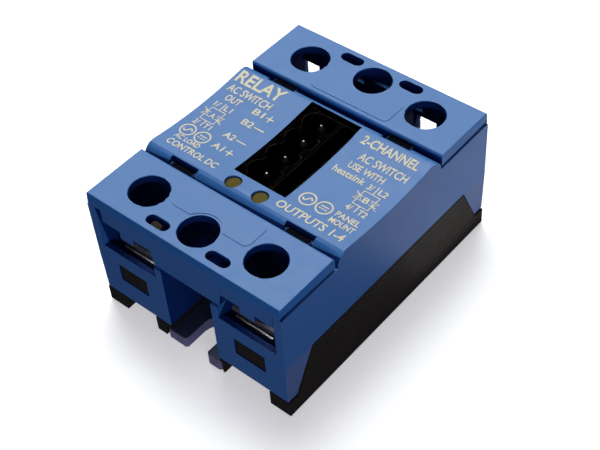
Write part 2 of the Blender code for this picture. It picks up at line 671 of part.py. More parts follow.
def build_board(mats):
    """Control board with its two optocouplers and two input resistors."""
    bm = bmesh.new()
    box(bm, (-BOARD_HALF_X, BOARD_HALF_X), (-BOARD_HALF_Y, BOARD_HALF_Y), BOARD_Z)
    board = new_object("control_board", bm, mats["board"])
    boolean(board, "DIFFERENCE", "pin_holes", board_pin_holes)

    bm = bmesh.new()
    low, high = BOARD_Z[1] + GAP, BOARD_Z[1] + GAP + 3.5
    outline = [(-4.05, low), (4.05, low), (4.25, low + 1.6), (3.9, high), (-3.9, high), (-4.25, low + 1.6)]
    prism(bm, outline, "x", -3.2, 3.2)
    coupler = new_object("optocoupler_a", bm, mats["chip"])
    coupler.location = Vector((-13, 0, 0)) * MM
    twin("optocoupler_b", coupler, (13, 0, 0))

    bm = bmesh.new()
    lathe(bm, [(0, 3.1), (0.7, 3.0), (1.0, 2.5), (1.0, 1.9), (0.8, 1.4), (0.8, -1.4), (1.0, -1.9),
               (1.0, -2.5), (0.7, -3.0), (0, -3.1)], steps=20)
    bmesh.ops.rotate(bm, verts=bm.verts, matrix=Matrix.Rotation(math.radians(90), 3, "Y"))
    resistor = new_object("input_resistor_a", bm, mats["resistor"], smooth_angle=40)
    resistor.location = Vector((-13, -8, BOARD_Z[1] + GAP + 1.0)) * MM
    twin("input_resistor_b", resistor, (13, -8, BOARD_Z[1] + GAP + 1.0))


# ---------------------------------------------------------------- power circuit

def build_power_circuit(mats):
    """Two ceramic substrates, four thyristor dies on them and the four gate leads up to the board."""
    bm = bmesh.new()
    box(bm, (1.0, 15.0), (-13.4, 13.4), SUBSTRATE_Z)
    substrate = new_object("ceramic_substrate_b", bm, mats["ceramic"])
    twin("ceramic_substrate_a", substrate, (0, 0, 0), math.pi)

    bm = bmesh.new()
    box(bm, (-3.7, 3.7), (-3.7, 3.7), DIE_Z)
    die = new_object("thyristor_2", bm, mats["silicon"])
    bm = bmesh.new()
    lead = [(0, 16.2), (0.25, 16.2), (0.4, 16.0), (0.4, 5.2), (0.9, 4.9), (0.9, 4.7), (0, 4.7)]
    lathe(bm, lead, steps=12)
    gate = new_object("gate_lead_2", bm, mats["tin"], smooth_angle=40)
    for number, (side, end) in TERMINALS.items():
        for obj, stem, x, y in ((die, "thyristor", 8, 7), (gate, "gate_lead", 6.5, 5)):
            if number == 2:
                obj.location = Vector((side * x, end * y, 0)) * MM
            else:
                twin(f"{stem}_{number}", obj, (side * x, end * y, 0))


def main():
    for obj in list(bpy.data.objects):
        bpy.data.objects.remove(obj, do_unlink=True)
    mats = make_materials()
    build_housing(mats)
    front = build_flap(mats)
    twin("rear_flap", front, (0, HINGE_Y, HINGE_Z), math.pi)
    build_base_frame(mats)
    build_base_plate(mats)
    build_terminals(mats)
    build_header(mats)
    build_header_pins(mats)
    build_indicators(mats)
    build_board(mats)
    build_power_circuit(mats)


main()
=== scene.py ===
"""Looks for the dual-channel solid state relay: camera, studio, procedural materials, rounded edges and print."""

import json
import math

import bmesh
import bpy
from mathutils import Matrix, Vector


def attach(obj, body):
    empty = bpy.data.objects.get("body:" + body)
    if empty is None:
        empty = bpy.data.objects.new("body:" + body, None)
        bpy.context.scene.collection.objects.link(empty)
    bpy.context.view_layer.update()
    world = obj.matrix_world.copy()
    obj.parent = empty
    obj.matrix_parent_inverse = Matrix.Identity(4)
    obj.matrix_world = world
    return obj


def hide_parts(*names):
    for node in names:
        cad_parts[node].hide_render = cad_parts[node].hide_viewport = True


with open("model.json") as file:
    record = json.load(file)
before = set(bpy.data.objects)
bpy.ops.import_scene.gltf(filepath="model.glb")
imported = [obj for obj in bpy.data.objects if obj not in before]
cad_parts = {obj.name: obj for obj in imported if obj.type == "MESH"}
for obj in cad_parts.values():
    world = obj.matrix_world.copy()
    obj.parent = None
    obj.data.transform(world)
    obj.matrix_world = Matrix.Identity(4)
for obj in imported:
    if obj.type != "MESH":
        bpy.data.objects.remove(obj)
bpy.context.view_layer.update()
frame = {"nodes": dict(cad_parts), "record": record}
MM = 0.001
NODES = frame["nodes"]
RECORD = frame["record"]
BODIES = RECORD["behaviour"]["bodies"]


def add_object(name, data):
    thing = bpy.data.objects.new(name, data)
    bpy.context.scene.collection.objects.link(thing)
    return thing


def add_mesh(name, bm):
    mesh = bpy.data.meshes.new(name)
    bm.to_mesh(mesh)
    bm.free()
    return add_object(name, mesh)


def aim(thing, position, target, roll=0.0):
    """Put a camera or light at position and point it at target, both in metres."""
    look = (Vector(target) - Vector(position)).to_track_quat("-Z", "Y")
    thing.location = position
    thing.rotation_mode = "QUATERNION"
    thing.rotation_quaternion = look @ Matrix.Rotation(roll, 3, "Z").to_quaternion()


# ---------------------------------------------------------------- camera and studio

CAMERA_MM = (113.47, -118.76, 183.7)
LOOKS_AT_MM = (2.664, -1.895, 13.0)
ROLL_DEG = -4.937
FOCAL_LENGTH, SENSOR_WIDTH = 76.41, 36.0

# In metres: the floor is a square, and the wall round it starts as a curve and ends upright
FLOOR_REACH, FLOOR_DROP = 3.0, 0.0001
WALL_START, WALL_BEND, WALL_HEIGHT = 1.8, 1.0, 3.0
WALL_STEPS, WALL_BEND_STEP_DEG = 64, 10

SOFT_WHITE = (0.97, 1.0, 0.98)
COOL_PINK = (0.96, 0.87, 1.12)
WARM_WHITE = (1.0, 0.95, 0.95)
SKY = (0.95, 0.93, 1.05, 1)


def make_camera():
    """Camera at the photograph's viewing angle."""
    data = bpy.data.cameras.new("camera")
    data.lens, data.sensor_width = FOCAL_LENGTH, SENSOR_WIDTH
    data.clip_start, data.clip_end = 0.01, 10.0
    camera = add_object("camera", data)
    aim(camera, Vector(CAMERA_MM) * MM, Vector(LOOKS_AT_MM) * MM, math.radians(ROLL_DEG))
    bpy.context.scene.camera = camera


def area_light(name, position, target, size, watts, color):
    data = bpy.data.lights.new(name, "AREA")
    data.shape, data.size, data.size_y = "RECTANGLE", *size
    data.energy, data.color = watts, color
    light = add_object(name, data)
    aim(light, position, target)
    return light


def make_lights():
    """Two soft boxes above and behind, a weak fill in front, and a card low on the right for light off the floor."""
    area_light("key", (-0.30, 0.33, 0.50), (0, 0, 0.02), size=(0.60, 0.60), watts=2.65, color=SOFT_WHITE)
    area_light("overhead", (-0.17, 0.17, 0.70), (0, 0, 0.02), size=(0.32, 0.32), watts=2.6, color=SOFT_WHITE)
    fill = area_light("fill", (0.32, -0.31, 0.10), (0, 0, 0.015), size=(0.40, 0.25), watts=0.70, color=COOL_PINK)
    fill.visible_camera = fill.visible_glossy = False
    card = area_light("side_card", (0.085, 0.080, 0.0005), (0.085, 0.080, 1.0), size=(0.12, 0.14), watts=0.042,
                      color=WARM_WHITE)
    card.visible_camera = False


def make_world():
    scene = bpy.context.scene
    scene.view_settings.view_transform = "Standard"
    scene.world = bpy.data.worlds.new("studio")
    scene.world.use_nodes = True
    background = scene.world.node_tree.nodes["Background"]
    background.inputs["Color"].default_value = SKY
    background.inputs["Strength"].default_value = 0.09


def put_on_stage(piece, base, roughness, glow, strength):
    """Give a floor or backdrop its glowing pale finish. It is seen, and lights no object."""
    piece.visible_diffuse = piece.visible_glossy = False
    material = bpy.data.materials.new(piece.name)
    material.use_nodes = True
    sockets = material.node_tree.nodes["Principled BSDF"].inputs
    sockets["Base Color"].default_value = base
    sockets["Roughness"].default_value = roughness
    sockets["Emission Color"].default_value = glow
    sockets["Emission Strength"].default_value = strength
    piece.data.materials.append(material)


def make_floor():
    bm = bmesh.new()
    bmesh.ops.create_grid(bm, x_segments=1, y_segments=1, size=FLOOR_REACH)
    floor = add_mesh("floor", bm)
    floor.location = (0, 0, -FLOOR_DROP)
    put_on_stage(floor, base=(0.93, 0.93, 0.94, 1), roughness=0.9, glow=(1, 1, 1, 1), strength=0.45)


def make_backdrop():
    """Pale wall that curves up from the floor all round."""
    profile = []
    for degrees in range(0, 91, WALL_BEND_STEP_DEG):
        angle = math.radians(degrees)
        profile.append((WALL_START + WALL_BEND * math.sin(angle), WALL_BEND * (1 - math.cos(angle))))
    profile.append((WALL_START + WALL_BEND, WALL_HEIGHT))
    bm = bmesh.new()
    rings = []
    for i in range(WALL_STEPS):
        turn = 2 * math.pi * i / WALL_STEPS
        rings.append([bm.verts.new((out * math.cos(turn), out * math.sin(turn), z)) for out, z in profile])
    for i, near in enumerate(rings):
        far = rings[(i + 1) % WALL_STEPS]
        for j in range(len(profile) - 1):
            bm.faces.new((near[j], far[j], far[j + 1], near[j + 1]))
    backdrop = add_mesh("backdrop", bm)
    backdrop.data.shade_smooth()
    backdrop.visible_shadow = False
    put_on_stage(backdrop, base=(0.5, 0.5, 0.5, 1), roughness=0.5, glow=(0.98, 0.98, 1.0, 1), strength=0.85)


# ---------------------------------------------------------------- materials

class Surface:
    """Small helper that wires procedural nodes into one Principled material."""

    def __init__(self, name, color, metallic=0.0):
        self.mat = bpy.data.materials.new(name)
        self.mat.use_nodes = True
        self.nodes = self.mat.node_tree.nodes
        self.links = self.mat.node_tree.links
        self.shader = self.nodes["Principled BSDF"]
        self.shader.inputs["Metallic"].default_value = metallic
        self.coords = self.nodes.new("ShaderNodeTexCoord").outputs["Object"]
        self.color = (*color, 1)
        self.normal = None

    def noise(self, scale, detail=2.0, stretch=None):
        """Noise with features of about 1 / scale metres, finer along an axis that is stretched."""
        coords = self.coords
        if stretch:
            mapping = self.nodes.new("ShaderNodeMapping")
            mapping.inputs["Scale"].default_value = stretch
            self.links.new(coords, mapping.inputs["Vector"])
            coords = mapping.outputs["Vector"]
        node = self.nodes.new("ShaderNodeTexNoise")
        node.inputs["Scale"].default_value = scale
        node.inputs["Detail"].default_value = detail
        self.links.new(coords, node.inputs["Vector"])
        return node.outputs["Fac"]

    def ramp(self, source, low, high, start=0.0, end=1.0):
        """Map source from the range low..high to start..end, clamped."""
        node = self.nodes.new("ShaderNodeMapRange")
        for key, number in (("From Min", low), ("From Max", high), ("To Min", start), ("To Max", end)):
            node.inputs[key].default_value = number
        self.links.new(source, node.inputs["Value"])
        return node.outputs["Result"]

    def times(self, a, b):
        node = self.nodes.new("ShaderNodeMath")
        node.operation = "MULTIPLY"
        self.links.new(a, node.inputs[0])
        self.links.new(b, node.inputs[1])
        return node.outputs[0]

    def mix(self, factor, color):
        """Mix a second colour over the current one by factor."""
        node = self.nodes.new("ShaderNodeMix")
        node.data_type = "RGBA"
        below, above = (socket for socket in node.inputs if socket.type == "RGBA")
        self.links.new(factor, node.inputs["Factor"])
        if isinstance(self.color, tuple):
            below.default_value = self.color
        else:
            self.links.new(self.color, below)
        above.default_value = (*color, 1)
        self.color = next(socket for socket in node.outputs if socket.type == "RGBA")

    def edge(self, radius):
        """1 along edges, fading to 0 on flat areas."""
        node = self.nodes.new("ShaderNodeBevel")
        node.samples = 6
        node.inputs["Radius"].default_value = radius
        geometry = self.nodes.new("ShaderNodeNewGeometry")
        dot = self.nodes.new("ShaderNodeVectorMath")
        dot.operation = "DOT_PRODUCT"
        self.links.new(node.outputs["Normal"], dot.inputs[0])
        self.links.new(geometry.outputs["Normal"], dot.inputs[1])
        return self.ramp(dot.outputs["Value"], 1.0, 0.85)

    def bump(self, height, strength, distance):
        node = self.nodes.new("ShaderNodeBump")
        node.inputs["Strength"].default_value = strength
        node.inputs["Distance"].default_value = distance
        self.links.new(height, node.inputs["Height"])
        self.normal = node.outputs["Normal"]

    def done(self, rough):
        self.links.new(self.color, self.shader.inputs["Base Color"])
        self.links.new(rough, self.shader.inputs["Roughness"])
        self.links.new(self.normal, self.shader.inputs["Normal"])
        return self.mat


def moulded_plastic(name, color, shade, pale, roughness, grain=0.3, speck=0.0, gloss=0.4, wear_and_edge_highlight=0.3):
    """Textured moulded plastic: faint colour drift, fine grain, and pale edges, partly worn and partly a painted
    highlight.
    """
    s = Surface(name, color)
    s.shader.inputs["Specular IOR Level"].default_value = gloss
    s.mix(s.ramp(s.noise(60, 2), 0.35, 0.7, 0.0, 0.3), shade)
    # Pale edges at random: wear, and a painted highlight where rounded edges catch the light
    s.mix(s.times(s.edge(0.18 * MM), s.ramp(s.noise(900, 2), 0.42, 0.7, wear_and_edge_highlight / 3, wear_and_edge_highlight)), pale)
    if speck:
        s.mix(s.ramp(s.noise(5200, 1), 0.60, 0.75, 0.0, speck), pale)
    s.bump(s.noise(6500, 2), grain, 0.02 * MM)
    return s.done(s.ramp(s.noise(420, 3), 0.3, 0.7, roughness - 0.03, roughness + 0.04))


def plated_metal(name, color, tint, roughness, grain=(1, 1, 1), metallic=1.0):
    """Plated metal with faint brushing, stains, and pale edges that are partly worn and partly painted glints."""
    s = Surface(name, color, metallic)
    s.mix(s.ramp(s.noise(160, 4), 0.45, 0.75, 0.0, 0.6), tint)
    # Pale edges at random: wear, and painted glints along the edges
    s.mix(s.times(s.edge(0.15 * MM), s.ramp(s.noise(1200, 2), 0.4, 0.7)), (0.8, 0.79, 0.77))
    s.bump(s.noise(2500, 3, grain), 0.12, 0.03 * MM)
    return s.done(s.ramp(s.noise(500, 3, grain), 0.3, 0.7, roughness - 0.1, roughness + 0.12))


def print_ink():
    """Cream pad-printed ink with slightly uneven cover."""
    s = Surface("print_ink", (0.72, 0.66, 0.46))
    s.mix(s.ramp(s.noise(700, 3), 0.4, 0.75, 0.0, 0.5), (0.50, 0.50, 0.42))
    s.bump(s.noise(4000, 2), 0.1, 0.01 * MM)
    return s.done(s.ramp(s.noise(900, 2), 0.3, 0.7, 0.5, 0.7))


BRUSHED = (1, 12, 12)   # brushing runs along X

# Key: colour, shade it drifts to, colour of the pale edges (wear and painted highlight), roughness, and what differs
# from the usual finish
PLASTICS = {
    # The blues' strong pale edges are partly wear and partly a painted highlight on edges that catch the light
    "blue_plastic": ((0.028, 0.152, 0.435), (0.024, 0.138, 0.405), (0.10, 0.27, 0.58), 0.50,
                     {"gloss": 0.6, "wear_and_edge_highlight": 0.7}),
    # Painted shade: a deeper, less glossy copy of the blue for the lid's rim band on the flaps
    "blue_band_painted_shade": ((0.014, 0.155, 0.46), (0.012, 0.140, 0.43), (0.08, 0.27, 0.60), 0.50, {"wear_and_edge_highlight": 0.7}),
    # Painted reflection: a lighter, greyer copy of the blue for the housing's lower sides, as if lit from the floor
    "blue_tongue_painted_reflection": ((0.085, 0.165, 0.38), (0.078, 0.155, 0.36), (0.14, 0.29, 0.54), 0.55,
                    {"gloss": 0.5, "wear_and_edge_highlight": 0.7}),
    # Painted shade: a dark copy of the blue for faces inside recesses and walls in shade
    "blue_painted_shade": ((0.005, 0.030, 0.16), (0.004, 0.024, 0.13), (0.02, 0.06, 0.22), 0.6, {"gloss": 0.15}),
    "black_plastic": ((0.016, 0.0135, 0.0105), (0.010, 0.009, 0.007), (0.085, 0.068, 0.050), 0.68,
                      {"grain": 0.9, "speck": 0.45, "gloss": 0.3}),
    # The header's pale edge lines are mostly a painted highlight
    "header_plastic": ((0.0011, 0.0011, 0.0012), (0.0008, 0.0008, 0.0009), (0.075, 0.060, 0.036), 0.5,
                       {"grain": 0.1, "gloss": 0.0, "wear_and_edge_highlight": 1.5}),
    # Painted shade: near-black for the sleeves that darken the hinge arms in their pockets
    "shade_sleeve_black": ((0.0008, 0.0018, 0.006), (0.0006, 0.0014, 0.005), (0.002, 0.004, 0.012), 0.6,
             {"grain": 0.1, "gloss": 0.02}),
    "board_green": ((0.03, 0.16, 0.07), (0.02, 0.12, 0.05), (0.3, 0.35, 0.2), 0.5, {}),
    "chip_black": ((0.03, 0.03, 0.035), (0.02, 0.02, 0.02), (0.1, 0.1, 0.1), 0.6, {}),
    "amber_lens": ((0.105, 0.080, 0.008), (0.060, 0.042, 0.006), (0.12, 0.1, 0.03), 0.6, {"gloss": 0.1}),
    "alumina": ((0.8, 0.79, 0.74), (0.7, 0.7, 0.66), (0.9, 0.9, 0.88), 0.6, {}),
    "silicon": ((0.2, 0.2, 0.24), (0.14, 0.14, 0.18), (0.4, 0.4, 0.42), 0.3, {}),
    "resistor_body": ((0.5, 0.4, 0.25), (0.42, 0.33, 0.2), (0.6, 0.5, 0.35), 0.5, {}),
}

# Key: colour, colour of its stains, roughness, and what differs from the usual finish
METALS = {
    # Its blue-violet colour is a painted reflection of the blue housing on the nickel plate
    "nickel_plate": ((0.34, 0.34, 0.60), (0.24, 0.25, 0.48), 0.5, {"grain": BRUSHED, "metallic": 0.6}),
    # Painted shade: a dark copy of the plate for its top faces, shaded under the housing
    "plate_top_painted_shade": ((0.10, 0.13, 0.20), (0.06, 0.09, 0.15), 0.5, {"grain": BRUSHED, "metallic": 0.6}),
    "tinned_copper": ((0.5, 0.49, 0.47), (0.35, 0.35, 0.34), 0.42, {}),
    "zinc_steel": ((0.17, 0.16, 0.20), (0.11, 0.11, 0.14), 0.62, {"metallic": 0.6}),
    "yellow_zinc": ((0.045, 0.038, 0.022), (0.025, 0.022, 0.016), 0.70, {}),
    "tinned_pin": ((0.22, 0.20, 0.16), (0.15, 0.14, 0.11), 0.45, {}),
}


def make_materials():
    """All materials by key: the record's slots, and the extra shades that the visual model needs, several of them
    painted light and shade.
    """
    made = {"print": print_ink()}
    for make, table in ((moulded_plastic, PLASTICS), (plated_metal, METALS)):
        for key, (*looks, options) in table.items():
            made[key] = make(key, *looks, **options)
    return made


def dress_nodes():
    """Give every CAD node the material of its slot in the record."""
    for row in RECORD["subparts"]:
        mesh = NODES[row["node"]].data
        mesh.materials.clear()
        mesh.materials.append(MATERIALS[row["material_slot"]])


# ---------------------------------------------------------------- rounded pieces

# CAD node: width of its rounded edges in mm
ROUNDED = {
    "housing": 0.12, "front_flap": 0.18, "rear_flap": 0.18, "base_frame": 0.12, "base_plate": 0.22,
    "control_header": 0.10,
}
SHARP = math.radians(28)            # a bend above this is an edge, below it part of a curve
JOIN_DISTANCE, FLAT_ANGLE = 0.002 * MM, math.radians(0.4)

# Materials on one piece: the slot's own material is 0, and these follow it. On the blue they are painted shade inside,
# a painted reflection on the lower sides, the header's black in its well and painted shade on the lid's rim band; on
# the plate, painted shade on its top
EXTRA_SLOTS = {
    "blue_plastic": ("blue_painted_shade", "blue_tongue_painted_reflection", "header_plastic", "blue_band_painted_shade"), "nickel_plate": ("plate_top_painted_shade",),
}
# Places of the blue's materials: its own, painted shade inside, painted reflection on the lower sides, the header's
# black, painted shade on the rim band
OWN, PAINTED_SHADE_INSIDE, LOWER_SIDE_PAINTED_LIGHT, WELL, RIM_PAINTED_SHADE = range(5)
# Place of the plate's top, in painted shade
PLATE_PAINTED_SHADE = 1


def up_to(limit):
    return -math.inf, limit


# Boxes that hold the faces of one shade: limits of |x|, |y| and z in mm. All but the header's well get painted shade,
# the dark of recesses and of walls in shade
INNER_EDGE = (up_to(22.1), (14.0, 15.25), up_to(27.9))
FLAP_HOLE_WALLS = (up_to(21.5), (15.3, 28.0), up_to(28.2))
FLAP_BELOW_LID = (up_to(math.inf), up_to(26.75), up_to(26.9))
HOUSING_INNER_WALLS = (
    (up_to(6.2), (14.6, 28.9), (3, 26.05)),           # channel between the terminal blocks
    (up_to(21.4), (14.0, 27.95), (3, 26.05)),         # terminal chambers below the flaps
    ((8.2, 19.8), (27.5, 28.95), (14.5, 21.8)),       # wire windows
    ((10.45, 17.55), (27.5, 28.95), (8.85, 13.15)),   # latch windows
    ((10.15, 16.65), (12.8, 14.7), up_to(28.1)),      # hinge pockets
)
HEADER_WELL = ((-5.6, 6.6), (-9.1, 13.05), up_to(math.inf))   # here x and y have their signs
RIM_X, RIM_Y, RIM_Z = 21.9, 28.65, 26.75
WALL_TILT, RIM_TILT, FACE_TILT = 0.6, 0.5, 0.7        # limits for the upward part of a face's normal

# In mm: the housing's side tongues lean in below their shoulder, and the deck below the flaps is raised
TONGUE_X, TONGUE_TOP, TONGUE_LEAN = 22.0, 13.35, 0.03
LEAN_BELOW = TONGUE_TOP - 0.05
DECK_Y, DECK_Z, DECK_RISE = 14.6, 25.6, 0.14

# Sleeves of painted shade over the hinge arms: thin near-black shells that darken the arms in their pockets
SHADE_SLEEVE_X = (10.95 * MM, 15.85 * MM)                     # across the arm
SHADE_SLEEVE_INNER, SHADE_SLEEVE_OUTER = 0.53 * MM, 0.62 * MM         # radii of the sleeve round the hinge's line
SHADE_SLEEVE_REACH, SHADE_SLEEVE_STEP_DEG = 2.3 * MM, 15


def add_piece(name, bm, material, body):
    """Turn a bmesh into a piece of the record's slot that rides on a body."""
    piece = add_mesh(name, bm)
    piece.data.materials.append(MATERIALS[material])
    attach(piece, body)
    return piece


def is_narrow(face, width):
    """True for a sliver too thin to carry a rounded edge."""
    return 2 * face.calc_area() / max(face.calc_perimeter(), 1e-9) < 1.3 * width


def corner_normals(bm, flat):
    """Corner normals: level on flat faces, smooth round curves, and blended only across the rounded edges."""
    around = {}
    for vert in bm.verts:
        faces = [face for face in vert.link_faces if face[flat]]
        around[vert] = []
        for face in faces:
            near = [other for other in faces if other.normal.dot(face.normal) > math.cos(SHARP)]
            total = sum((other.normal * other.calc_area() for other in near), Vector())
            around[vert].append((face, total.normalized()))
    corners = []
    for face in bm.faces:
        for vert in face.verts:
            normals = around[vert]
            if not normals:
                corners.append(sum((other.normal for other in vert.link_faces), Vector()).normalized())
            elif face[flat]:
                corners.append(next(normal for other, normal in normals if other is face))
            else:
                corners.append(max((normal for _, normal in normals), key=face.normal.dot))
    return corners


def inside(point, box):
    return all(low < value < high for value, (low, high) in zip(point, box))


def flap_zone(spot, normal):
    """Material of a face on a flap: painted shade on the lid's rim band, on the hole walls, on the inner edge and
    below the lid, else its own.
    """
    x, y, z = spot
    if (y > RIM_Y or x > RIM_X) and z > RIM_Z and abs(normal.z) < RIM_TILT:
        return RIM_PAINTED_SHADE
    hole_wall = inside(spot, FLAP_HOLE_WALLS) and abs(normal.z) < WALL_TILT
    return PAINTED_SHADE_INSIDE if hole_wall or inside(spot, INNER_EDGE) or inside(spot, FLAP_BELOW_LID) else OWN


def housing_zone(point, spot, normal):
    """Material of a face on the housing: black in the header's well, painted shade inside, a painted reflection on the
    lower sides, else its own.
    """
    if inside(point, HEADER_WELL) and abs(normal.z) < WALL_TILT:
        return WELL
    if inside(spot, INNER_EDGE) or any(inside(spot, box) for box in HOUSING_INNER_WALLS):
        return PAINTED_SHADE_INSIDE
    x, _, z = spot
    return LOWER_SIDE_PAINTED_LIGHT if x > TONGUE_X and z < TONGUE_TOP else OWN


def zone(node, point, normal):
    """Place of a face's material among its piece's shades. The point is in mm."""
    spot = [abs(value) for value in point]
    # The plate's top faces get painted shade
    if node == "base_plate":
        return PLATE_PAINTED_SHADE if normal.z > FACE_TILT else OWN
    return housing_zone(point, spot, normal) if node == "housing" else flap_zone(spot, normal)


def fit_housing(bm):
    """Raise the deck to make the parting line thin, and lean the lower sides in below their shoulder."""
    for vert in bm.verts:
        if abs(vert.co.y) > DECK_Y * MM and vert.co.z > DECK_Z * MM:
            vert.co.z += DECK_RISE * MM
        if abs(vert.co.x) > TONGUE_X * MM and vert.co.z < LEAN_BELOW * MM:
            vert.co.x -= math.copysign((TONGUE_TOP * MM - vert.co.z) * TONGUE_LEAN, vert.co.x)


def rounded_piece(node, width):
    """Copy of a CAD node with its sharp edges rounded over by width millimetres."""
    width *= MM
    bm = bmesh.new()
    bm.from_mesh(NODES[node].data)
    flat = bm.faces.layers.int.new("flat")
    bmesh.ops.remove_doubles(bm, verts=bm.verts, dist=JOIN_DISTANCE)
    bmesh.ops.dissolve_limit(bm, angle_limit=FLAT_ANGLE, verts=bm.verts, edges=bm.edges)
    if node == "housing":
        geometry = bm.verts[:] + bm.edges[:] + bm.faces[:]
        bmesh.ops.bisect_plane(bm, geom=geometry, dist=1e-7, plane_co=(0, 0, TONGUE_TOP * MM), plane_no=(0, 0, 1))
    bmesh.ops.triangulate(bm, faces=bm.faces)
    narrow = {face for face in bm.faces if is_narrow(face, width)}
    sharp = [edge for edge in bm.edges
             if edge.is_manifold and edge.calc_face_angle(0) > SHARP and not narrow.intersection(edge.link_faces)]
    rounding = bmesh.ops.bevel(bm, geom=sharp, offset=width, segments=2, profile=0.5, affect="EDGES",
                               clamp_overlap=False, loop_slide=True)
    for face in bm.faces:
        face[flat] = 1
    for face in rounding["faces"]:
        face[flat] = 0
    bmesh.ops.triangulate(bm, faces=bm.faces)
    if node == "housing":
        fit_housing(bm)
    normals = corner_normals(bm, flat)
    slot = next(row["material_slot"] for row in RECORD["subparts"] if row["node"] == node)
    body = next(body for body, members in BODIES.items() if node in members)
    piece = add_piece(f"{node}_moulded", bm, slot, body)
    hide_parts(node)
    piece.data.shade_smooth()
    piece.data.normals_split_custom_set(normals)
    for name in EXTRA_SLOTS.get(slot, ()):
        piece.data.materials.append(MATERIALS[name])
    if slot in EXTRA_SLOTS:
        for polygon in piece.data.polygons:
            polygon.material_index = zone(node, polygon.center / MM, polygon.normal)


def shade_sleeve_outline(y, z):
    """Outline of a shade sleeve as (distance along |Y|, height): two straight ends joined round the hinge's line."""
    outline = [(y + SHADE_SLEEVE_REACH, z + SHADE_SLEEVE_INNER), (y + SHADE_SLEEVE_REACH, z + SHADE_SLEEVE_OUTER)]
    for radius, degrees in ((SHADE_SLEEVE_OUTER, range(90, -91, -SHADE_SLEEVE_STEP_DEG)), (SHADE_SLEEVE_INNER, range(-90, 91, SHADE_SLEEVE_STEP_DEG))):
        for angle in degrees:
            turn = math.radians(angle)
            outline.append((y - radius * math.cos(turn), z + radius * math.sin(turn)))
    return outline


def darken_hinge_arms():
    """Thin near-black sleeve of painted shade wrapped over each hinge arm, down in the housing's pockets."""
    hinges = {joint["name"]: joint["pos_m"] for joint in RECORD["behaviour"]["joints"] if "flap" in joint["name"]}
    for end in ("front", "rear"):
        _, y, z = hinges[f"{end}_flap_hinge"]
        outline = shade_sleeve_outline(abs(y), z)
        count = len(outline)
        for side, letter in ((-1, "a"), (1, "b")):
            bm = bmesh.new()
            near, far = ([bm.verts.new((side * x, math.copysign(along, y), up)) for along, up in outline]
                         for x in SHADE_SLEEVE_X)
            for i in range(count):
                j = (i + 1) % count
                bm.faces.new((near[i], near[j], far[j], far[i]))
            bm.faces.new(near[::-1])
            bm.faces.new(far)
            bmesh.ops.triangulate(bm, faces=bm.faces)
            bmesh.ops.recalc_face_normals(bm, faces=bm.faces)
            add_piece(f"hinge_arm_shade_{end}_{letter}", bm, "shade_sleeve_black", f"{end}_cover")


# ---------------------------------------------------------------- print

# The print is drawn flat in mm, with x and y those of the object, and then laid on the label face
CAP_HEIGHT = 0.70                   # height of a capital letter in the built-in font, for a size of 1
INK_HALF, INK_LIFT = 0.012, 0.025   # half the ink's thickness, and its middle above the face
PLAIN, BOLD, BOLDEST = 0.035, 0.06, 0.09    # how far letters are thickened
LABEL_LOW, LABEL_TOP, LABEL_CREST_Y = 27.8, 28.6, 12.0   # the dished face's middle, and its height at a given y
HAIR, THIN, LINE, MARK = 0.13, 0.15, 0.22, 0.26          # widths of drawn lines
BOX_HALF_X, BOX_HALF_Y = 1.65, 1.75                      # the switch symbol's box
RING_RADIUS, RING_STEPS = 1.5, 28


def text(bm, words, left, right, y, height, spread=PLAIN):
    """Add flat solid lettering between left and right, with its baseline at y."""
    curve = bpy.data.curves.new("lettering", "FONT")
    curve.body = words
    curve.size = height / CAP_HEIGHT
    curve.extrude = INK_HALF
    curve.offset = spread
    curve.resolution_u = 3
    holder = bpy.data.objects.new("lettering", curve)
    mesh = bpy.data.meshes.new_from_object(holder)
    across = [vert.co.x for vert in mesh.vertices]
    stretch = (right - left) / (max(across) - min(across))
    middle = (min(across) + max(across)) / 2 * stretch
    mesh.transform(Matrix.Translation(((left + right) / 2 - middle, y, 0)) @ Matrix.Diagonal((stretch, 1, 1, 1)))
    bm.from_mesh(mesh)
    bpy.data.objects.remove(holder)
    bpy.data.curves.remove(curve)
    bpy.data.meshes.remove(mesh)


def stroke(bm, points, width=LINE, closed=False):
    """Add a flat solid line of even width through the points."""
    points = [Vector(p) for p in points]
    count = len(points)
    pairs = []
    for i, point in enumerate(points):
        along = []
        if closed or i:
            along.append((point - points[i - 1]).normalized())
        if closed or i < count - 1:
            along.append((points[(i + 1) % count] - point).normalized())
        middle = sum(along, Vector((0, 0))).normalized()
        reach = width / 2 / max(0.4, middle.dot(along[0]))
        offset = Vector((-middle.y, middle.x)) * reach
        pairs.append((point + offset, point - offset))
    low, high = ([[bm.verts.new((p.x, p.y, z)) for p in pair] for pair in pairs] for z in (-INK_HALF, INK_HALF))
    for i in range(count if closed else count - 1):
        j = (i + 1) % count
        bm.faces.new((high[i][0], high[i][1], high[j][1], high[j][0]))
        bm.faces.new((low[i][1], low[i][0], low[j][0], low[j][1]))
        bm.faces.new((low[i][0], high[i][0], high[j][0], low[j][0]))
        bm.faces.new((high[i][1], low[i][1], low[j][1], high[j][1]))
    if not closed:
        bm.faces.new((low[0][0], low[0][1], high[0][1], high[0][0]))
        bm.faces.new((high[-1][0], high[-1][1], low[-1][1], low[-1][0]))


